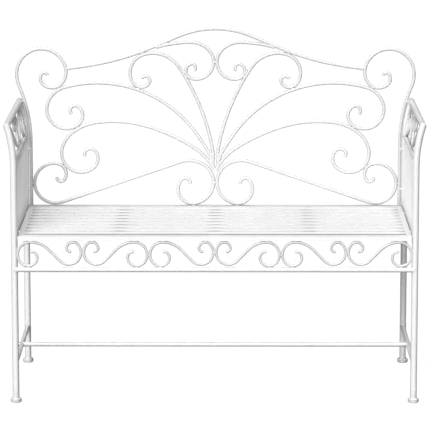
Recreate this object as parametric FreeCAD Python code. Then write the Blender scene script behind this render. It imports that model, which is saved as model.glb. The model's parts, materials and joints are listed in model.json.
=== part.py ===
import FreeCAD, Part

# Garden bench of welded steel tube, rod and strip: two side frames, a slatted seat
# with a scroll-work apron, and a back panel of bent rod scrolls.
# Millimetres. X runs along the bench, -Y is its front, Z is up and the floor is z = 0.
# The left half is drawn first, and its mirror image about x = 0 is the right half.

import math
import os

Vector = FreeCAD.Vector

# --- driving dimensions -------------------------------------------------------------
# side frames
LEG_X = 564.5               # leg axis from the middle of the bench
LEG_Y = 250.0               # leg axis in front of and behind the middle
LEG_DIAMETER = 19.0
TUBE_WALL = 1.5
FLARE_FROM = 680.0          # height where a leg starts to lean outwards
FLARE_RADIUS = 370.0
ARM_HEIGHT = 793.0          # axis of the level arm rail
BAR_DIAMETER = 12.7
MID_RAIL_HEIGHT = 690.0
LOWER_RAIL_HEIGHT = 471.5
BARS_PER_SIDE = 9
BAR_PITCH = 50.0
STRETCHER_HEIGHT = 111.0

# feet
CAP_DIAMETER = 31.0
CAP_HEIGHT = 10.0
CAP_FLOOR = 3.0
CAP_ROUNDING = 1.5
GLIDE_DIAMETER = 26.0
GLIDE_HEIGHT = 2.0
GLIDE_STEM_DIAMETER = 8.0

# seat
SEAT_TOP = 480.0
RAIL_HEIGHT = 13.0
RAIL_DEPTH = 30.0           # front and rear rails, measured along Y
SIDE_RAIL_WIDTH = 15.0
RAIL_WALL = 1.2
PLUG_THICKNESS = 3.0
SEAT_HALF_DEPTH = 258.0
SLAT_COUNT = 9
SLAT_PITCH = 49.0
SLAT_WIDTH = 37.5
SLAT_THICKNESS = 3.0
CROSS_SPACING = 270.0
CROSS_WIDTH = 25.0
CROSS_THICKNESS = 5.0

# apron
APRON_Y = 253.0             # plane of the apron in front of the middle
APRON_HALF_LENGTH = 559.0   # the outer scrolls run a little way into the legs
APRON_RAIL_HEIGHT = 384.0
APRON_RAIL_DIAMETER = 14.0
APRON_SCROLLS = 6
THIN_ROD = 8.0

# back panel
BACK_Y = 250.0
BACK_ROD = 10.0
TIP_ROUNDING = 0.15         # rounding of a cut rod end, as a share of the rod's diameter
UPRIGHT_X = 548.5
BACK_STUB_HEIGHTS = (530.0, 650.0)

# fasteners
BOLT_DIAMETER = 6.0
BOLT_HEAD_ACROSS = 10.0
BOLT_HEAD_HEIGHT = 4.0
SEAT_BOLT_Y = 150.0
THREAD_DEPTH = 18.0
DOME_HEAD_DIAMETER = 12.0
DOME_HEAD_HEIGHT = 3.5
DOME_ROUNDING = 0.6         # share of the dome head's height
SPACER_DIAMETER = 12.0
HEXAGON = 6                 # sides of a bolt head

# --- derived dimensions -------------------------------------------------------------
LEG_RADIUS = LEG_DIAMETER / 2
FLARE_ANGLE = math.asin((ARM_HEIGHT - FLARE_FROM) / FLARE_RADIUS)
ARM_X = LEG_X + FLARE_RADIUS * (1 - math.cos(FLARE_ANGLE))
LEG_BOTTOM = GLIDE_HEIGHT + CAP_FLOOR
RAIL_BOTTOM = SEAT_TOP - RAIL_HEIGHT
RAIL_HALF_LENGTH = LEG_X - LEG_RADIUS
RAIL_INNER_Y = SEAT_HALF_DEPTH - RAIL_DEPTH
SIDE_RAIL_INNER_X = RAIL_HALF_LENGTH - SIDE_RAIL_WIDTH

# --- scroll outlines ----------------------------------------------------------------
# Each outline is a start point (x, z), a heading in degrees and a list of tangent moves:
# (radius, turn in degrees, left positive) is an arc and ("run", length) is straight.
WING = ((-471, 567), -97, [
    (12, 151), (31, 108), (50, 33), (60, 166), (88, 18), ("run", 365.5),
    (83, -49), (63, -68), (65, -74), (44, -137), (15, -153)])
CROWN = ((-176, 954), 16, [
    (395, -15), (74, -47), (52, -57), (51, -94), (23, -136), (11, -170)])
UPPER_PLUME = ((-8, 611), 81, [
    (115, 19), (640, 24), (93, 73), (57, 94), (36, 53), (25, 82), (13, 178)])
MIDDLE_PLUME = ((-6, 593), 94, [
    (115, 27), (860, 4), (360, 71), (72, 58), (58, 140), (37, 50), (31, 68), (14, 166)])
LOWER_PLUME = ((-2, 587), 118, [
    (180, 29), (540, 16), (363, 24), (155, 30), (87, 39), (58, 142), (38, 80), (20, 110),
    (11, 91)])
CORNER = ((-UPRIGHT_X, SEAT_TOP), 90, [
    ("run", 194), (420, 22.7), (98, -27.7), (73.4, -160), (54, -48), (40, -96), (24, -86),
    (9, -140)])
TOP_RAIL_HALF = ((-441, 891), 6, [(1100, 5), (800, 12), ("run", 86), (275, -23)])

# An S scroll is a large open volute, a shoulder, a straight stem and a smaller hook.
# The volute ends level at its top, and the hook is drawn from its level bottom.
S_HEADING = 30.0
S_VOLUTE = [(11, -79), (21, -91), (28, -96), (35.5, -124)]
S_SHOULDER = 72.0
S_HOOK_RADIUS = 34.5
S_HOOK = [(S_HOOK_RADIUS, 133), (18, 127), (10, 114)]


# --- helpers ------------------------------------------------------------------------
def trace(start, heading, moves):
    """Return the spans of an outline: two points for a run, three for an arc."""
    u, v = start
    angle = math.radians(heading)
    spans = []
    for size, amount in moves:
        if size == "run":
            end = (u + amount * math.cos(angle), v + amount * math.sin(angle))
            spans.append([(u, v), end])
        else:
            turn = math.radians(amount)
            side = math.copysign(1.0, turn)
            centre_u = u - side * size * math.sin(angle)
            centre_v = v + side * size * math.cos(angle)
            points = [(u, v)]
            for share in (0.5, 1.0):
                here = angle + share * turn
                points.append((centre_u + side * size * math.sin(here),
                               centre_v - side * size * math.cos(here)))
            spans.append(points)
            angle += turn
            end = points[-1]
        u, v = end
    return spans


def shift(spans, du, dv):
    return [[(u + du, v + dv) for u, v in span] for span in spans]


def extent(spans):
    """Lowest and highest u and v that the outline reaches."""
    limits = spine(spans, lambda u, v: Vector(u, 0, v)).BoundBox
    return limits.XMin, limits.XMax, limits.ZMin, limits.ZMax


def spine(spans, place):
    edges = []
    for span in spans:
        points = [place(u, v) for u, v in span]
        curve = Part.LineSegment(*points) if len(points) == 2 else Part.Arc(*points)
        edges.append(curve.toShape())
    return Part.Wire(edges)


def sweep(path, diameter):
    """Sweep a round section along a wire."""
    first = path.OrderedEdges[0]
    start = first.valueAt(first.FirstParameter)
    along = first.tangentAt(first.FirstParameter)
    ring = Part.Wire([Part.Circle(start, along, diameter / 2).toShape()])
    return path.makePipeShell([ring], True, False)


def bent_rod(spans, place, diameter):
    """Rod bent along an outline, with its cut ends slightly rounded."""
    rod = sweep(spine(spans, place), diameter)
    rims = []
    for face in rod.Faces:
        if face.Surface.TypeId == "Part::GeomPlane":
            rims.extend(face.Edges)
    return rod.makeFillet(TIP_ROUNDING * diameter, rims)


def cylinder(start, end, diameter):
    along = end - start
    return Part.makeCylinder(diameter / 2, along.Length, start, along)


def box(low, high):
    size = Vector(*high) - Vector(*low)
    return Part.makeBox(size.x, size.y, size.z, Vector(*low))


def main_solid(shape):
    """The largest solid, without the offcuts that a trim leaves."""
    return max(shape.Solids, key=lambda solid: solid.Volume)


def trim(shape, *others):
    return main_solid(shape.cut(list(others)))


def mirrored(shape):
    return shape.mirror(Vector(0, 0, 0), Vector(1, 0, 0))


def in_back(x, z):
    return Vector(x, BACK_Y, z)


def in_front(x, z):
    return Vector(x, -APRON_Y, z)


def left_of_middle(shape):
    """Cut a left-hand root off at the middle plane, where its mirror image meets it."""
    reach = 2 * CAP_DIAMETER
    beyond = box((0, BACK_Y - reach, 0), (reach, BACK_Y + reach, 2 * SEAT_TOP))
    return trim(shape, beyond)


parts = {}


def add(name, shape):
    parts[name] = shape


def add_pair(name, shape):
    """Add a left-hand part and its mirror image."""
    add("left_" + name, shape)
    add("right_" + name, mirrored(shape))


# --- side frames --------------------------------------------------------------------
def leg_path(y):
    """Leg axis up to the arm's axis, then on in a straight line past the mitre."""
    moves = [("run", FLARE_FROM - LEG_BOTTOM), (FLARE_RADIUS, math.degrees(FLARE_ANGLE)),
             ("run", LEG_DIAMETER)]
    return spine(trace((-LEG_X, LEG_BOTTOM), 90, moves), lambda x, z: Vector(x, y, z))


def beyond_mitre(y, arm_direction):
    """Block on the far side of the mitre plane, where the leg turns into the arm."""
    corner = Vector(-ARM_X, y, ARM_HEIGHT)
    leg_direction = Vector(-math.sin(FLARE_ANGLE), 0, math.cos(FLARE_ANGLE))
    return Part.makeCylinder(3 * LEG_DIAMETER, 3 * LEG_DIAMETER, corner,
                             leg_direction + arm_direction)


def make_leg(y):
    solid = sweep(leg_path(y), LEG_DIAMETER)
    bore = sweep(leg_path(y), LEG_DIAMETER - 2 * TUBE_WALL)
    inwards = Vector(0, math.copysign(1, -y), 0)
    return trim(solid, bore, beyond_mitre(y, inwards))


def leg_outside(y):
    return sweep(leg_path(y), LEG_DIAMETER)


def arm_outside(diameter=LEG_DIAMETER):
    reach = LEG_Y + LEG_DIAMETER
    return cylinder(Vector(-ARM_X, -reach, ARM_HEIGHT), Vector(-ARM_X, reach, ARM_HEIGHT),
                    diameter)


def make_arm():
    bore = arm_outside(LEG_DIAMETER - 2 * TUBE_WALL)
    blocks = []
    for y in (-LEG_Y, LEG_Y):
        inwards = Vector(0, math.copysign(1, -y), 0)
        block = beyond_mitre(y, inwards)
        corner = Vector(-ARM_X, y, ARM_HEIGHT)
        leg_direction = Vector(-math.sin(FLARE_ANGLE), 0, math.cos(FLARE_ANGLE))
        block.rotate(corner, leg_direction.cross(inwards), 180)
        blocks.append(block)
    return trim(arm_outside(), bore, *blocks)


def make_side_rail_bar(height):
    """Level round bar between a front leg and a rear leg."""
    bar = cylinder(Vector(-LEG_X, -LEG_Y, height), Vector(-LEG_X, LEG_Y, height), BAR_DIAMETER)
    return trim(bar, leg_outside(-LEG_Y), leg_outside(LEG_Y))


def make_side_bars(mid_rail, lower_rail):
    bars = []
    for index in range(BARS_PER_SIDE):
        y = (index - (BARS_PER_SIDE - 1) / 2) * BAR_PITCH
        bar = cylinder(Vector(-LEG_X, y, LOWER_RAIL_HEIGHT),
                       Vector(-LEG_X, y, MID_RAIL_HEIGHT), BAR_DIAMETER)
        bars.append(trim(bar, mid_rail, lower_rail))
    return Part.makeCompound(bars)


# --- scrolls ------------------------------------------------------------------------
def scaled(moves, scale):
    return [(size * scale, amount) for size, amount in moves]


def s_outline(width, height, diameter):
    """S outline whose rod fills a cell of the given width and height from (0, 0)."""
    wide = width - diameter
    tall = height - diameter
    volute = trace((0, 0), S_HEADING, S_VOLUTE)
    left, _, bottom, top = extent(volute)
    scale = tall / (top - bottom)
    top_u = volute[-1][-1][0]
    _, _, hook_bottom, hook_top = extent(trace((0, 0), 0, S_HOOK))
    # The stem falls by slope from level. Its shoulder and hook arcs and its own length
    # have to drop by the hook's height, and to cross the width that the ends leave.
    drop = scale * (hook_top - hook_bottom)
    cross = wide - scale * (top_u - left + S_HOOK_RADIUS)
    bends = scale * (S_SHOULDER + S_HOOK_RADIUS)
    surplus = 2 * bends - drop
    slope = 2 * math.atan((cross - math.sqrt(cross ** 2 - surplus * drop)) / surplus)
    stem = (drop - bends * (1 - math.cos(slope))) / math.sin(slope)
    fall = math.degrees(slope)
    hook = [(S_HOOK_RADIUS, S_HOOK[0][1] + fall)] + S_HOOK[1:]
    moves = scaled(S_VOLUTE + [(S_SHOULDER, -fall)], scale)
    moves += [("run", stem)] + scaled(hook, scale)
    spans = trace((0, 0), S_HEADING, moves)
    return shift(spans, diameter / 2 - scale * left, diameter / 2 - scale * bottom)


def make_apron_scroll(index, spans, cell):
    """Scroll number index from the left; every second one is turned left to right."""
    left = -APRON_HALF_LENGTH + index * cell
    bottom = APRON_RAIL_HEIGHT + APRON_RAIL_DIAMETER / 2
    if index % 2 == 0:
        return bent_rod(spans, lambda u, v: in_front(left + u, bottom + v), THIN_ROD)
    return bent_rod(spans, lambda u, v: in_front(left + cell - u, bottom + v), THIN_ROD)


def make_side_scroll(front):
    """S scroll between the arm and the mid rail, leaning outwards with the legs."""
    foot = Vector(-LEG_X, 0, MID_RAIL_HEIGHT)
    lean = Vector(-ARM_X, 0, ARM_HEIGHT) - foot
    gap = lean.Length - BAR_DIAMETER / 2 - LEG_RADIUS
    lean.normalize()
    width = LEG_Y - LEG_RADIUS
    spans = s_outline(width, gap, THIN_ROD)
    side = -1 if front else 1

    def place(u, v):
        return foot + lean * (BAR_DIAMETER / 2 + v) + Vector(0, side * (width - u), 0)

    return bent_rod(spans, place, THIN_ROD)


def settled(outline, bottom=None):
    """Slide an outline against the middle plane, and down onto a given height."""
    spans = trace(*outline)
    low_u, high_u, low_v, high_v = extent(spans)
    drop = 0 if bottom is None else bottom + BACK_ROD / 2 - low_v
    return shift(spans, -BACK_ROD / 2 - high_u, drop)


def make_top_rail():
    start, heading, half = TOP_RAIL_HALF
    spans = trace(start, heading, half + half[::-1])
    low_u, high_u, low_v, high_v = extent(spans)
    return bent_rod(shift(spans, -(low_u + high_u) / 2, 0), in_back, BACK_ROD)


def make_back_stubs(corner):
    """Short stubs welded between the upright and the rear leg and arm beside it."""
    stubs = []
    places = [(height, LEG_X) for height in BACK_STUB_HEIGHTS] + [(ARM_HEIGHT, ARM_X)]
    for height, axis_x in places:
        stub = cylinder(in_back(-axis_x, height), in_back(-UPRIGHT_X, height), BACK_ROD)
        pieces = stub.cut(arm_outside()).cut(leg_outside(LEG_Y)).cut(corner).Solids
        in_gap = min(pieces, key=lambda solid: solid.CenterOfMass.x)
        stubs.extend([in_gap, mirrored(in_gap)])
    return Part.makeCompound(stubs)


def make_back():
    top_rail = make_top_rail()
    corner = bent_rod(trace(*CORNER), in_back, BACK_ROD)
    wing = bent_rod(settled(WING, SEAT_TOP), in_back, BACK_ROD)
    lower = bent_rod(trace(*LOWER_PLUME), in_back, BACK_ROD)
    middle = bent_rod(trace(*MIDDLE_PLUME), in_back, BACK_ROD)
    upper = bent_rod(trace(*UPPER_PLUME), in_back, BACK_ROD)
    crown = bent_rod(settled(CROWN), in_back, BACK_ROD)
    add("top_rail", trim(top_rail, corner, mirrored(corner)))
    add_pair("corner_scroll", trim(corner, leg_outside(LEG_Y), arm_outside()))
    add_pair("wing_scroll", trim(wing, corner))
    add("back_stubs", make_back_stubs(corner))
    add_pair("lower_plume", left_of_middle(trim(lower, wing)))
    add_pair("middle_plume", left_of_middle(trim(middle, lower, corner)))
    add_pair("upper_plume", left_of_middle(trim(upper, middle, crown, top_rail)))
    add_pair("crown_scroll", trim(crown, top_rail))


# --- seat ---------------------------------------------------------------------------
def box_tube(low, high, along):
    """Rectangular tube, open at its two ends."""
    inset = Vector(RAIL_WALL, RAIL_WALL, RAIL_WALL)
    setattr(inset, along, 0)
    return box(low, high).cut(box(Vector(*low) + inset, Vector(*high) - inset))


def make_end_rail(front):
    """Front or rear seat rail, a tube whose ends meet the legs."""
    low_y = -SEAT_HALF_DEPTH if front else RAIL_INNER_Y
    low = (-RAIL_HALF_LENGTH, low_y, RAIL_BOTTOM)
    high = (RAIL_HALF_LENGTH, low_y + RAIL_DEPTH, SEAT_TOP)
    return box_tube(low, high, "x")


def make_side_rail():
    low = (-RAIL_HALF_LENGTH, -RAIL_INNER_Y, RAIL_BOTTOM)
    high = (-SIDE_RAIL_INNER_X, RAIL_INNER_Y, SEAT_TOP)
    return box_tube(low, high, "y")


def make_end_plugs():
    """Steel plugs that close the four open ends of the front and rear rails."""
    plugs = []
    for end in (-1, 1):
        for low_y in (-SEAT_HALF_DEPTH, RAIL_INNER_Y):
            outer = end * RAIL_HALF_LENGTH
            inner = end * (RAIL_HALF_LENGTH - PLUG_THICKNESS)
            plugs.append(box((min(outer, inner), low_y + RAIL_WALL, RAIL_BOTTOM + RAIL_WALL),
                             (max(outer, inner), low_y + RAIL_DEPTH - RAIL_WALL,
                              SEAT_TOP - RAIL_WALL)))
    return Part.makeCompound(plugs)


def make_slat(index):
    y = (index - (SLAT_COUNT - 1) / 2) * SLAT_PITCH
    slat = box((-SIDE_RAIL_INNER_X, y - SLAT_WIDTH / 2, SEAT_TOP - SLAT_THICKNESS),
               (SIDE_RAIL_INNER_X, y + SLAT_WIDTH / 2, SEAT_TOP))
    long_edges = [edge for edge in slat.Edges if edge.Length > SIDE_RAIL_INNER_X]
    return slat.makeFillet(SLAT_THICKNESS / 4, long_edges)


def make_cross_supports():
    top = SEAT_TOP - SLAT_THICKNESS
    supports = []
    for x in (-CROSS_SPACING, 0, CROSS_SPACING):
        supports.append(box((x - CROSS_WIDTH / 2, -RAIL_INNER_Y, top - CROSS_THICKNESS),
                            (x + CROSS_WIDTH / 2, RAIL_INNER_Y, top)))
    return Part.makeCompound(supports)


# --- feet ---------------------------------------------------------------------------
def make_feet():
    caps = []
    glides = []
    for x in (-LEG_X, LEG_X):
        for y in (-LEG_Y, LEG_Y):
            foot = Vector(x, y, GLIDE_HEIGHT)
            up = Vector(0, 0, 1)
            cap = Part.makeCylinder(CAP_DIAMETER / 2, CAP_HEIGHT, foot)
            top_rims = [edge for edge in cap.Edges
                        if edge.Closed and edge.CenterOfMass.z > foot.z + CAP_HEIGHT / 2]
            cap = cap.makeFillet(CAP_ROUNDING, top_rims)
            socket = Part.makeCylinder(LEG_RADIUS, CAP_HEIGHT, foot + up * CAP_FLOOR)
            hole = Part.makeCylinder(GLIDE_STEM_DIAMETER / 2, CAP_FLOOR, foot)
            caps.append(cap.cut([socket, hole]))
            pad = Part.makeCylinder(GLIDE_DIAMETER / 2, GLIDE_HEIGHT, foot - up * GLIDE_HEIGHT)
            stem = Part.makeCylinder(GLIDE_STEM_DIAMETER / 2, CAP_FLOOR, foot)
            glides.append(pad.fuse(stem).removeSplitter())
    add("foot_caps", Part.makeCompound(caps))
    add("foot_glides", Part.makeCompound(glides))


# --- fasteners ----------------------------------------------------------------------
def seat_bolt(y):
    """Bolt from inside the seat's side rail, through a spacer, into the lower rail."""
    start = Vector(-SIDE_RAIL_INNER_X, y, LOWER_RAIL_HEIGHT)
    tip = Vector(-LEG_X - BOLT_DIAMETER / 2, y, LOWER_RAIL_HEIGHT)
    shank = cylinder(start, tip, BOLT_DIAMETER)
    corners = []
    reach = BOLT_HEAD_ACROSS / 2 / math.cos(math.pi / HEXAGON)
    for index in range(HEXAGON + 1):
        angle = 2 * math.pi * index / HEXAGON
        corners.append(start + Vector(0, reach * math.cos(angle), reach * math.sin(angle)))
    head = Part.Face(Part.makePolygon(corners)).extrude(Vector(BOLT_HEAD_HEIGHT, 0, 0))
    return head.fuse(shank).removeSplitter()


def seat_spacer(y):
    return cylinder(Vector(-LEG_X, y, LOWER_RAIL_HEIGHT),
                    Vector(-RAIL_HALF_LENGTH, y, LOWER_RAIL_HEIGHT), SPACER_DIAMETER)


def make_stretcher_bolt():
    """Dome-headed bolt through the side stretcher into the end of the long stretcher."""
    face = Vector(-LEG_X - BAR_DIAMETER / 2, 0, STRETCHER_HEIGHT)
    tip = Vector(-LEG_X + BAR_DIAMETER / 2 + THREAD_DEPTH, 0, STRETCHER_HEIGHT)
    outwards = Vector(-1, 0, 0)
    head = Part.makeCylinder(DOME_HEAD_DIAMETER / 2, DOME_HEAD_HEIGHT, face, outwards)
    rims = [edge for edge in head.Edges
            if edge.Closed and edge.CenterOfMass.x < face.x - DOME_HEAD_HEIGHT / 2]
    head = head.makeFillet(DOME_ROUNDING * DOME_HEAD_HEIGHT, rims)
    return head.fuse(cylinder(face, tip, BOLT_DIAMETER)).removeSplitter()


# --- assembly -----------------------------------------------------------------------
def build_side_frames():
    add_pair("arm_rail", make_arm())
    add_pair("front_leg", make_leg(-LEG_Y))
    add_pair("rear_leg", make_leg(LEG_Y))
    mid_rail = make_side_rail_bar(MID_RAIL_HEIGHT)
    lower_rail = make_side_rail_bar(LOWER_RAIL_HEIGHT)
    stretcher = make_side_rail_bar(STRETCHER_HEIGHT)
    bolts = [seat_bolt(y) for y in (-SEAT_BOLT_Y, SEAT_BOLT_Y)]
    add_pair("side_bars", make_side_bars(mid_rail, lower_rail))
    add_pair("mid_rail", mid_rail)
    add_pair("lower_rail", trim(lower_rail, *bolts))
    add_pair("side_stretcher", trim(stretcher, make_stretcher_bolt()))
    for name, front in (("front", True), ("rear", False)):
        add_pair("side_scroll_" + name, make_side_scroll(front))


def build_seat():
    add("seat_front_rail", make_end_rail(True))
    add("seat_rear_rail", make_end_rail(False))
    add("seat_rail_plugs", make_end_plugs())
    bolts = [seat_bolt(y) for y in (-SEAT_BOLT_Y, SEAT_BOLT_Y)]
    add_pair("seat_side_rail", trim(make_side_rail(), *bolts))
    add("seat_cross_supports", make_cross_supports())
    for index in range(SLAT_COUNT):
        add("seat_slat_%d" % (index + 1), make_slat(index))


def build_apron():
    rail = cylinder(in_front(-LEG_X, APRON_RAIL_HEIGHT), in_front(LEG_X, APRON_RAIL_HEIGHT),
                    APRON_RAIL_DIAMETER)
    legs = [leg_outside(-LEG_Y), mirrored(leg_outside(-LEG_Y))]
    add("apron_rail", trim(rail, *legs))
    cell = 2 * APRON_HALF_LENGTH / APRON_SCROLLS
    height = RAIL_BOTTOM - APRON_RAIL_HEIGHT - APRON_RAIL_DIAMETER / 2
    spans = s_outline(cell, height, THIN_ROD)
    for index in range(APRON_SCROLLS):
        scroll = make_apron_scroll(index, spans, cell)
        add("apron_scroll_%d" % (index + 1), trim(scroll, *legs))


def build_underframe():
    bar = cylinder(Vector(-LEG_X, 0, STRETCHER_HEIGHT), Vector(LEG_X, 0, STRETCHER_HEIGHT),
                   BAR_DIAMETER)
    side = make_side_rail_bar(STRETCHER_HEIGHT)
    bolt = make_stretcher_bolt()
    add("long_stretcher", trim(bar, side, mirrored(side), bolt, mirrored(bolt)))
    add("stretcher_bolts", Part.makeCompound([bolt, mirrored(bolt)]))


def build_seat_fasteners():
    bolts = []
    spacers = []
    for y in (-SEAT_BOLT_Y, SEAT_BOLT_Y):
        bolt = seat_bolt(y)
        spacer = trim(seat_spacer(y), parts["left_lower_rail"], bolt)
        bolts.extend([bolt, mirrored(bolt)])
        spacers.extend([spacer, mirrored(spacer)])
    add("seat_bolts", Part.makeCompound(bolts))
    add("seat_spacers", Part.makeCompound(spacers))


def main():
    build_side_frames()
    make_feet()
    build_seat()
    build_apron()
    build_underframe()
    build_seat_fasteners()
    make_back()
    os.makedirs("parts", exist_ok=True)
    for name, shape in parts.items():
        shape.exportStep("parts/%s.step" % name)
    print(len(parts), "nodes")


main()
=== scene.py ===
"""Looks of a white scroll-work garden bench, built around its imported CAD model.

Metres, in the CAD's own frame: X along the bench, -Y its front, Z up, floor at z = 0.
"""
import json
import math

import bpy
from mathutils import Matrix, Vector
from mathutils.bvhtree import BVHTree


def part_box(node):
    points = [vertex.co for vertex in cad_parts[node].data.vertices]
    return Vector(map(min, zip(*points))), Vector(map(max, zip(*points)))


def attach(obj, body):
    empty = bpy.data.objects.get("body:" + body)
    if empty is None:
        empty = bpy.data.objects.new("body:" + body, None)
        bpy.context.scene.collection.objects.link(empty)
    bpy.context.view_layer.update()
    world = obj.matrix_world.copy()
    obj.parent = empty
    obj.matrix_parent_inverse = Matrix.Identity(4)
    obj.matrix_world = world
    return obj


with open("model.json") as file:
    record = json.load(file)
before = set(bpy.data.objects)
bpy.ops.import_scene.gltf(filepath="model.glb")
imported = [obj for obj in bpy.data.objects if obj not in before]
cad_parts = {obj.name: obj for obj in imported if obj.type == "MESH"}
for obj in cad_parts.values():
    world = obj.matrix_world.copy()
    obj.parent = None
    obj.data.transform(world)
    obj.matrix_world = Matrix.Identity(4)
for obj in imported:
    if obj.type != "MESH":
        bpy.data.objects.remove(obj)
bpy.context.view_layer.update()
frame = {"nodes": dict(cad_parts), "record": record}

# --- camera -------------------------------------------------------------------------
CAMERA_PLACE = (0.030, -8.110, 1.956)
CAMERA_PITCH = 10.21        # degrees below level
CAMERA_YAW = 0.212          # degrees to the left
CAMERA_LENS = 237.93        # millimetres, as is the sensor's width
SENSOR_WIDTH = 36.0

# --- light --------------------------------------------------------------------------
# Each sun shines from its FROM direction, and its SPREAD is in degrees across.
KEY_FROM = (-0.36, -0.95, 0.72)
KEY_STRENGTH = 2.95
KEY_SPREAD = 30.0
FILL_FROM = (0.05, -1.0, 0.05)
FILL_STRENGTH = 1.0
FILL_SPREAD = 60.0
TOP_FROM = (0.0, -0.12, 1.0)
TOP_STRENGTH = 1.55
TOP_SPREAD = 24.0
REAR_FROM = (0.2, 1.0, 0.0)
REAR_STRENGTH = 2.4
REAR_SPREAD = 6.0
SKY_STRENGTH = 0.16
FLOOR_BOUNCE = 0.08         # strength of the room's lower half
HORIZON_BLEND = 0.3         # how far above and below the horizon one fades into the other
FLOOR_SIZE = 60.0
FLOOR_GLOW = 0.96

# --- coat ---------------------------------------------------------------------------
# Painted shade stops are (openness, grey): the coat's colour is painted greyer where a corner
# is less open.
PAINTED_SHADE_REACH = 0.045
PAINTED_SHADE_SAMPLES = 8
ROD_PAINTED_SHADE = [(0.15, 0.55), (0.98, 1.0)]
# The strips' steeper painted shade draws dark lines in the gaps between slats.
STRIP_PAINTED_SHADE = [(0.76, 0.20), (0.98, 1.0)]
# Rods that get the darker copy of the white coat, painted shade.
SHADED_ROD_WORDS = ("scroll", "plume", "top_rail")

# --- welds --------------------------------------------------------------------------
TOUCH = 0.0007              # surfaces nearer than this are in contact
CONTACT_APART = 0.022       # contacts of one pair of rods are at least this far apart
FILLET_LENGTH = 0.020
FILLET_RINGS = 14
FILLET_SIDES = 10
FILLET_TIP = 0.06           # share of a half wave cut off at each end of a fillet
FILLET_FULLNESS = 0.6       # power of the half wave, below 1 for blunter ends
RIPPLES = 5                 # solidified ripples along a fillet
RIPPLE_DEPTH = 0.12         # share of the weld's radius
BACK_FILLET_RADIUS = 0.0022
BACK_FILLET_HEIGHT = 0.0026     # of a fillet's axis from the middle of the rods
THIN_FILLET_RADIUS = 0.0018
THIN_FILLET_HEIGHT = 0.0020
BEAD_STEPS = 40
BEAD_SIDES = 8
BEAD_RADIUS = 0.0013
SEAM_STEP = 0.01            # radians either side, to find the seam's direction
LEG_RADIUS = 0.0095
BAR_RADIUS = 0.00635
BARS_PER_SIDE = 9

SIDES = ("left_", "right_")
REAR = Vector((0, 1, 0))
UP = Vector((0, 0, 1))

nodes = frame["nodes"]


# --- material helpers ---------------------------------------------------------------
def add_node(tree, kind, inputs=None, **settings):
    """Add a shader node, with sockets or plain values on its inputs."""
    node = tree.nodes.new(kind)
    for name, value in settings.items():
        setattr(node, name, value)
    for name, value in (inputs or {}).items():
        if isinstance(value, bpy.types.NodeSocket):
            tree.links.new(value, node.inputs[name])
        else:
            node.inputs[name].default_value = value
    return node


def new_material(name):
    material = bpy.data.materials.new(name)
    material.use_nodes = True
    tree = material.node_tree
    return material, tree, tree.nodes["Principled BSDF"]


def noise(tree, place, scale, detail=3.0, roughness=0.5):
    texture = add_node(tree, "ShaderNodeTexNoise",
                       {"Vector": place, "Scale": scale, "Detail": detail,
                        "Roughness": roughness})
    return texture.outputs["Fac"]


def ramp(tree, factor, stops):
    """Ramp from (position, grey) stops."""
    node = add_node(tree, "ShaderNodeValToRGB", {"Fac": factor})
    elements = node.color_ramp.elements
    for element, (position, grey) in zip(elements, stops):
        element.position = position
        element.color = (grey, grey, grey, 1.0)
    return node.outputs["Color"]


def spread(tree, value, least, most):
    """Stretch a 0 to 1 value over a range."""
    node = add_node(tree, "ShaderNodeMapRange",
                    {"Value": value, "To Min": least, "To Max": most})
    return node.outputs["Result"]


def bump(tree, height, strength, distance):
    node = add_node(tree, "ShaderNodeBump",
                    {"Height": height, "Strength": strength, "Distance": distance})
    return node.outputs["Normal"]


def multiply(tree, first, second):
    node = add_node(tree, "ShaderNodeMix", data_type="RGBA", blend_type="MULTIPLY")
    factor, first_colour, second_colour = node.inputs[0], node.inputs[6], node.inputs[7]
    factor.default_value = 1.0
    tree.links.new(first, first_colour)
    tree.links.new(second, second_colour)
    return node.outputs[2]


def place_of(tree):
    return add_node(tree, "ShaderNodeTexCoord").outputs["Object"]


# --- materials ----------------------------------------------------------------------
def powder_coat(name, white, peel_scale, peel_depth, coat, painted_shade_stops, stretch=(1.0, 1.0, 1.0)):
    """White powder coat: orange peel, faint tone changes, random dust, and painted shade
    greying the corners.
    """
    material, tree, shader = new_material(name)
    mapping = add_node(tree, "ShaderNodeMapping", {"Vector": place_of(tree), "Scale": stretch})
    place = mapping.outputs["Vector"]
    tone = ramp(tree, noise(tree, place, scale=9.0, detail=5.0),
                [(0.25, 0.98 * white), (0.75, white)])
    dust = ramp(tree, noise(tree, place, scale=140.0, detail=4.0, roughness=0.65),
                [(0.30, 0.985), (0.62, 1.0)])
    # Painted shade: the colour is greyed where the surface is hemmed in, as shade in corners
    # and gaps.
    corner = add_node(tree, "ShaderNodeAmbientOcclusion", {"Distance": PAINTED_SHADE_REACH},
                      samples=PAINTED_SHADE_SAMPLES)
    painted_shade = ramp(tree, corner.outputs["AO"], painted_shade_stops)
    colour = multiply(tree, multiply(tree, tone, dust), painted_shade)
    tree.links.new(colour, shader.inputs["Base Color"])
    gloss = spread(tree, noise(tree, place, scale=60.0, detail=4.0), 0.30, 0.44)
    tree.links.new(gloss, shader.inputs["Roughness"])
    peel = noise(tree, place, peel_scale, detail=2.0, roughness=0.4)
    tree.links.new(bump(tree, peel, 0.35, peel_depth), shader.inputs["Normal"])
    shader.inputs["Specular IOR Level"].default_value = 0.45
    shader.inputs["Coat Weight"].default_value = coat
    shader.inputs["Coat Roughness"].default_value = 0.15
    shader.inputs["Coat IOR"].default_value = 1.7
    return material


def zinc_steel():
    """Zinc-plated bolts, with a fine mottled spangle."""
    material, tree, shader = new_material("zinc_steel")
    place = place_of(tree)
    spangle = add_node(tree, "ShaderNodeTexVoronoi", {"Vector": place, "Scale": 900.0})
    colour = ramp(tree, spangle.outputs["Distance"], [(0.0, 0.50), (0.7, 0.66)])
    tree.links.new(colour, shader.inputs["Base Color"])
    gloss = spread(tree, noise(tree, place, scale=500.0), 0.28, 0.48)
    tree.links.new(gloss, shader.inputs["Roughness"])
    shader.inputs["Metallic"].default_value = 1.0
    return material


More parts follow.
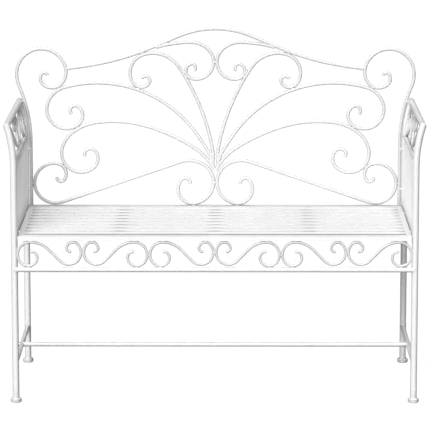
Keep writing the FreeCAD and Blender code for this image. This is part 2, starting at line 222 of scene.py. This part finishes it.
def glide_nylon():
    """Moulded nylon with a fine matt texture, a little scuffed."""
    material, tree, shader = new_material("glide_nylon")
    place = place_of(tree)
    colour = ramp(tree, noise(tree, place, scale=220.0, detail=5.0), [(0.3, 0.66), (0.7, 0.80)])
    tree.links.new(colour, shader.inputs["Base Color"])
    grain = noise(tree, place, scale=3000.0, detail=2.0)
    tree.links.new(bump(tree, grain, 0.3, 0.0001), shader.inputs["Normal"])
    shader.inputs["Roughness"].default_value = 0.55
    return material


def floor_material():
    """Pale floor that glows evenly, so that no shadow or reflection greys it."""
    material, tree, shader = new_material("floor_white")
    place = place_of(tree)
    colour = ramp(tree, noise(tree, place, scale=3.0, detail=4.0), [(0.3, 0.06), (0.7, 0.08)])
    tree.links.new(colour, shader.inputs["Base Color"])
    shader.inputs["Roughness"].default_value = 0.9
    shader.inputs["Specular IOR Level"].default_value = 0.1
    shader.inputs["Emission Color"].default_value = (1.0, 1.0, 1.0, 1.0)
    shader.inputs["Emission Strength"].default_value = FLOOR_GLOW
    return material


MATERIALS = {
    "white_coat": powder_coat("white_coat", white=0.82, peel_scale=700.0, peel_depth=0.00008,
                              coat=0.3, painted_shade_stops=ROD_PAINTED_SHADE),
    # The slats' white is set lighter than the rods': painted light that brightens the seat
    # tops.
    "white_strip": powder_coat("white_strip", white=0.92, peel_scale=520.0,
                               peel_depth=0.00004, coat=0.1, painted_shade_stops=STRIP_PAINTED_SHADE,
                               stretch=(0.2, 0.6, 1.0)),
    "bolt_steel": zinc_steel(),
    "glide_nylon": glide_nylon(),
}
# A darker copy of the white coat for the scroll rods: painted shade that deepens their shading
# lines.
SHADED_COAT = powder_coat("white_coat_painted_shade", white=0.66, peel_scale=700.0, peel_depth=0.00006,
                        coat=0.3, painted_shade_stops=ROD_PAINTED_SHADE)


def dress_cad_nodes():
    """Give every CAD node its slot's finish; the scroll rods get a darker copy of the white
    coat, painted shade.
    """
    for part in frame["record"]["subparts"]:
        mesh = nodes[part["node"]].data
        mesh.materials.clear()
        shaded = any(word in part["node"] for word in SHADED_ROD_WORDS)
        mesh.materials.append(SHADED_COAT if shaded else MATERIALS[part["material_slot"]])


# --- where pieces meet --------------------------------------------------------------
def centre_of(node):
    low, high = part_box(node)
    return (Vector(low) + Vector(high)) / 2


def inwards_of(side):
    return Vector((1, 0, 0)) if side == "left_" else Vector((-1, 0, 0))


def foot_place(side, leg):
    """Floor point under a leg's axis, from the record's glide mounts."""
    wanted = "floor_glide_%s_%s" % (leg.split("_")[0], side.strip("_"))
    for mount in frame["record"]["mounts"]:
        if mount["name"] == wanted:
            return Vector(mount["pos_m"])
    raise KeyError(wanted)


def points_of(node):
    return [vertex.co.copy() for vertex in nodes[node].data.vertices]


def surface_of(node):
    faces = [tuple(face.vertices) for face in nodes[node].data.polygons]
    return BVHTree.FromPolygons(points_of(node), faces)


def contacts(first, second):
    """Middles of the places where one node touches another."""
    surface = surface_of(second)
    groups = []
    for point in points_of(first):
        if surface.find_nearest(point, TOUCH)[0] is None:
            continue
        for group in groups:
            if (group[0] - point).length < CONTACT_APART:
                group.append(point)
                break
        else:
            groups.append([point])
    return [sum(group, Vector()) / len(group) for group in groups]


def rod_direction(node, place, normal):
    """Direction of a rod near a place on it, square to the normal of its plane."""
    near = [point - place for point in points_of(node)
            if (point - place).length < FILLET_LENGTH]
    along = max(near, key=lambda offset: offset.length, default=Vector((1, 0, 0)))
    along = along - along.dot(normal) * normal
    return along.normalized() if along.length > TOUCH else normal.orthogonal().normalized()


# --- weld shapes --------------------------------------------------------------------
def turns(count):
    """Angles of `count` equal steps round a circle."""
    return [2 * math.pi * index / count for index in range(count)]


def ringed(rings, closed):
    """Vertices and faces of a skin over equal rings of points, capped unless it is closed."""
    sides = len(rings[0])
    points = [point for ring in rings for point in ring]
    faces = []
    for index in range(len(rings) if closed else len(rings) - 1):
        here = index * sides
        there = (index + 1) % len(rings) * sides
        for side in range(sides):
            after = (side + 1) % sides
            faces.append((here + side, here + after, there + after, there + side))
    if not closed:
        faces.append(tuple(range(sides))[::-1])
        faces.append(tuple(len(points) - sides + side for side in range(sides)))
    return points, faces


def fillet_weld(middle, along, normal, radius):
    """Tapered weld with solidified ripples, lying along two rods that touch."""
    across = along.cross(normal)
    rings = []
    for index in range(FILLET_RINGS + 1):
        share = index / FILLET_RINGS
        wave = FILLET_TIP + (1 - 2 * FILLET_TIP) * share
        swell = math.sin(math.pi * wave) ** FILLET_FULLNESS
        ripple = 1 + RIPPLE_DEPTH * math.cos(2 * math.pi * RIPPLES * share)
        size = radius * swell * ripple / (1 + RIPPLE_DEPTH)
        start = middle + (share - 0.5) * FILLET_LENGTH * along
        rings.append([start + size * (math.cos(turn) * across + math.sin(turn) * normal)
                      for turn in turns(FILLET_SIDES)])
    return ringed(rings, False)


def ring_weld(middle, outwards, through, radius, through_radius, offset=0.0):
    """Bead round the end of a bar where it meets a round member that runs through.

    `middle` is on the through member's axis, `outwards` points along the bar, and `offset`
    is how far the bar's axis passes to the side of the through member's axis.
    """
    side = through.cross(outwards)

    def seam(turn):
        sideways = offset + radius * math.cos(turn)
        drop = math.sqrt(max(through_radius ** 2 - sideways ** 2, 0))
        return (middle + sideways * side + radius * math.sin(turn) * through
                + drop * outwards)

    rings = []
    axis = middle + offset * side
    for turn in turns(BEAD_STEPS):
        centre = seam(turn)
        along = (seam(turn + SEAM_STEP) - seam(turn - SEAM_STEP)).normalized()
        away = centre - axis
        away = (away - away.dot(outwards) * outwards).normalized()
        across = along.cross(away).normalized()
        away = across.cross(along)
        size = BEAD_RADIUS * (1 + RIPPLE_DEPTH * math.cos(turn * BEAD_STEPS / 2))
        rings.append([centre + size * (math.cos(angle) * away + math.sin(angle) * across)
                      for angle in turns(BEAD_SIDES)])
    return ringed(rings, True)


# --- weld pieces --------------------------------------------------------------------
def rod_welds(pairs, normal, radius, height):
    """Fillets on both faces of a rod panel, at every contact of each pair of nodes."""
    welds = []
    for first, second in pairs:
        for place in contacts(first, second):
            along = rod_direction(first, place, normal)
            for face in (-1, 1):
                middle = place + face * height * normal
                welds.append(fillet_weld(middle, along, normal, radius))
    return welds


def back_welds():
    pairs = [("left_" + name, "right_" + name)
             for name in ("lower_plume", "wing_scroll", "crown_scroll")]
    for side in SIDES:
        pairs += [(side + "wing_scroll", side + "corner_scroll"),
                  (side + "lower_plume", side + "wing_scroll"),
                  (side + "middle_plume", side + "corner_scroll"),
                  (side + "middle_plume", side + "lower_plume"),
                  (side + "upper_plume", side + "middle_plume"),
                  (side + "upper_plume", side + "crown_scroll"),
                  (side + "upper_plume", "top_rail"),
                  (side + "crown_scroll", "top_rail"),
                  (side + "corner_scroll", "top_rail"),
                  (side + "wing_scroll", "seat_rear_rail")]
    return rod_welds(pairs, REAR, BACK_FILLET_RADIUS, BACK_FILLET_HEIGHT)


def apron_welds():
    scrolls = sorted(node for node in nodes if node.startswith("apron_scroll_"))
    pairs = list(zip(scrolls, scrolls[1:]))
    for scroll in scrolls:
        pairs += [(scroll, "apron_rail"), (scroll, "seat_front_rail")]
    pairs += [(scrolls[0], "left_front_leg"), (scrolls[-1], "right_front_leg")]
    return rod_welds(pairs, REAR, THIN_FILLET_RADIUS, THIN_FILLET_HEIGHT)


def apron_rail_welds():
    """Beads where the apron rail meets the front legs."""
    rail = centre_of("apron_rail")
    low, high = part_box("apron_rail")
    rail_radius = (high[2] - low[2]) / 2
    welds = []
    for side in SIDES:
        foot = foot_place(side, "front_leg")
        inwards = inwards_of(side)
        offset = (rail - foot).dot(UP.cross(inwards))
        welds.append(ring_weld(Vector((foot.x, foot.y, rail.z)), inwards, UP,
                               rail_radius, LEG_RADIUS, offset))
    return welds


def side_scroll_welds(side):
    scrolls = (side + "side_scroll_front", side + "side_scroll_rear")
    pairs = [scrolls]
    for scroll in scrolls:
        for name in ("arm_rail", "mid_rail", "front_leg", "rear_leg"):
            pairs.append((scroll, side + name))
    return rod_welds(pairs, inwards_of(side), THIN_FILLET_RADIUS, THIN_FILLET_HEIGHT)


def side_rail_welds(side):
    """Beads where the level bars of one side frame meet its legs."""
    welds = []
    for rail in ("mid_rail", "lower_rail", "side_stretcher"):
        height = centre_of(side + rail).z
        for leg, along in (("front_leg", REAR), ("rear_leg", -REAR)):
            foot = foot_place(side, leg)
            welds.append(ring_weld(Vector((foot.x, foot.y, height)), along, UP,
                                   BAR_RADIUS, LEG_RADIUS))
    return welds


def side_bar_welds(side):
    """Beads round both ends of each upright bar of one side frame."""
    low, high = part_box(side + "side_bars")
    x = (low[0] + high[0]) / 2
    first = low[1] + BAR_RADIUS
    pitch = (high[1] - BAR_RADIUS - first) / (BARS_PER_SIDE - 1)
    welds = []
    for index in range(BARS_PER_SIDE):
        y = first + index * pitch
        for rail, along in (("mid_rail", -UP), ("lower_rail", UP)):
            middle = Vector((x, y, centre_of(side + rail).z))
            welds.append(ring_weld(middle, along, REAR, BAR_RADIUS, BAR_RADIUS))
    return welds


def add_weld_piece(name, welds):
    """One piece for a group of welds, each given as points and faces."""
    points = []
    faces = []
    for weld_points, weld_faces in welds:
        start = len(points)
        points.extend(weld_points)
        faces.extend(tuple(start + corner for corner in face) for face in weld_faces)
    mesh = bpy.data.meshes.new(name)
    mesh.from_pydata(points, [], faces)
    mesh.polygons.foreach_set("use_smooth", [True] * len(mesh.polygons))
    mesh.materials.append(MATERIALS["white_coat"])
    piece = bpy.data.objects.new(name, mesh)
    bpy.context.scene.collection.objects.link(piece)
    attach(piece, "root")


def add_welds():
    add_weld_piece("welds_back", back_welds())
    add_weld_piece("welds_apron", apron_welds() + apron_rail_welds())
    for side in SIDES:
        welds = side_scroll_welds(side) + side_rail_welds(side) + side_bar_welds(side)
        add_weld_piece("welds_%sside" % side, welds)


# --- stage --------------------------------------------------------------------------
def make_floor():
    half = FLOOR_SIZE / 2
    corners = [(-half, -half, 0), (half, -half, 0), (half, half, 0), (-half, half, 0)]
    mesh = bpy.data.meshes.new("floor")
    mesh.from_pydata(corners, [], [(0, 1, 2, 3)])
    mesh.materials.append(floor_material())
    floor = bpy.data.objects.new("floor", mesh)
    bpy.context.scene.collection.objects.link(floor)
    # Its glow would wash out the rods' grey undersides; the sky stands in for its bounce.
    floor.visible_diffuse = False
    floor.visible_glossy = False


def make_sun(name, place, strength, width, glossy=True):
    """Broad soft light from far away, in the direction of `place`."""
    data = bpy.data.lights.new(name, "SUN")
    data.energy = strength
    data.angle = math.radians(width)
    sun = bpy.data.objects.new(name, data)
    sun.rotation_euler = Vector(place).to_track_quat("Z", "Y").to_euler()
    sun.visible_glossy = glossy
    bpy.context.scene.collection.objects.link(sun)


def make_sky():
    """Dim room all round, dimmer below, where only the floor sends light up."""
    world = bpy.data.worlds.new("studio")
    bpy.context.scene.world = world
    world.use_nodes = True
    tree = world.node_tree
    direction = add_node(tree, "ShaderNodeTexCoord").outputs["Generated"]
    height = add_node(tree, "ShaderNodeSeparateXYZ", {"Vector": direction}).outputs["Z"]
    level = add_node(tree, "ShaderNodeMapRange",
                     {"Value": height, "From Min": -HORIZON_BLEND, "From Max": HORIZON_BLEND,
                      "To Min": FLOOR_BOUNCE, "To Max": SKY_STRENGTH})
    sky = tree.nodes["Background"]
    sky.inputs["Color"].default_value = (1.0, 1.0, 1.0, 1.0)
    tree.links.new(level.outputs["Result"], sky.inputs["Strength"])


def make_lights():
    make_sun("key", KEY_FROM, KEY_STRENGTH, KEY_SPREAD)
    make_sun("fill", FILL_FROM, FILL_STRENGTH, FILL_SPREAD)
    make_sun("top", TOP_FROM, TOP_STRENGTH, TOP_SPREAD)
    # Seen from the front, the rear light would glare on the seat, so it adds no gloss.
    make_sun("rear", REAR_FROM, REAR_STRENGTH, REAR_SPREAD, glossy=False)
    make_sky()


def make_camera():
    data = bpy.data.cameras.new("camera")
    data.sensor_width = SENSOR_WIDTH
    data.lens = CAMERA_LENS
    camera = bpy.data.objects.new("camera", data)
    camera.location = CAMERA_PLACE
    camera.rotation_euler = (math.radians(90 - CAMERA_PITCH), 0, math.radians(CAMERA_YAW))
    bpy.context.scene.collection.objects.link(camera)
    bpy.context.scene.camera = camera


make_camera()
make_floor()
make_lights()
dress_cad_nodes()
add_welds()
bpy.context.scene.view_settings.view_transform = "Standard"
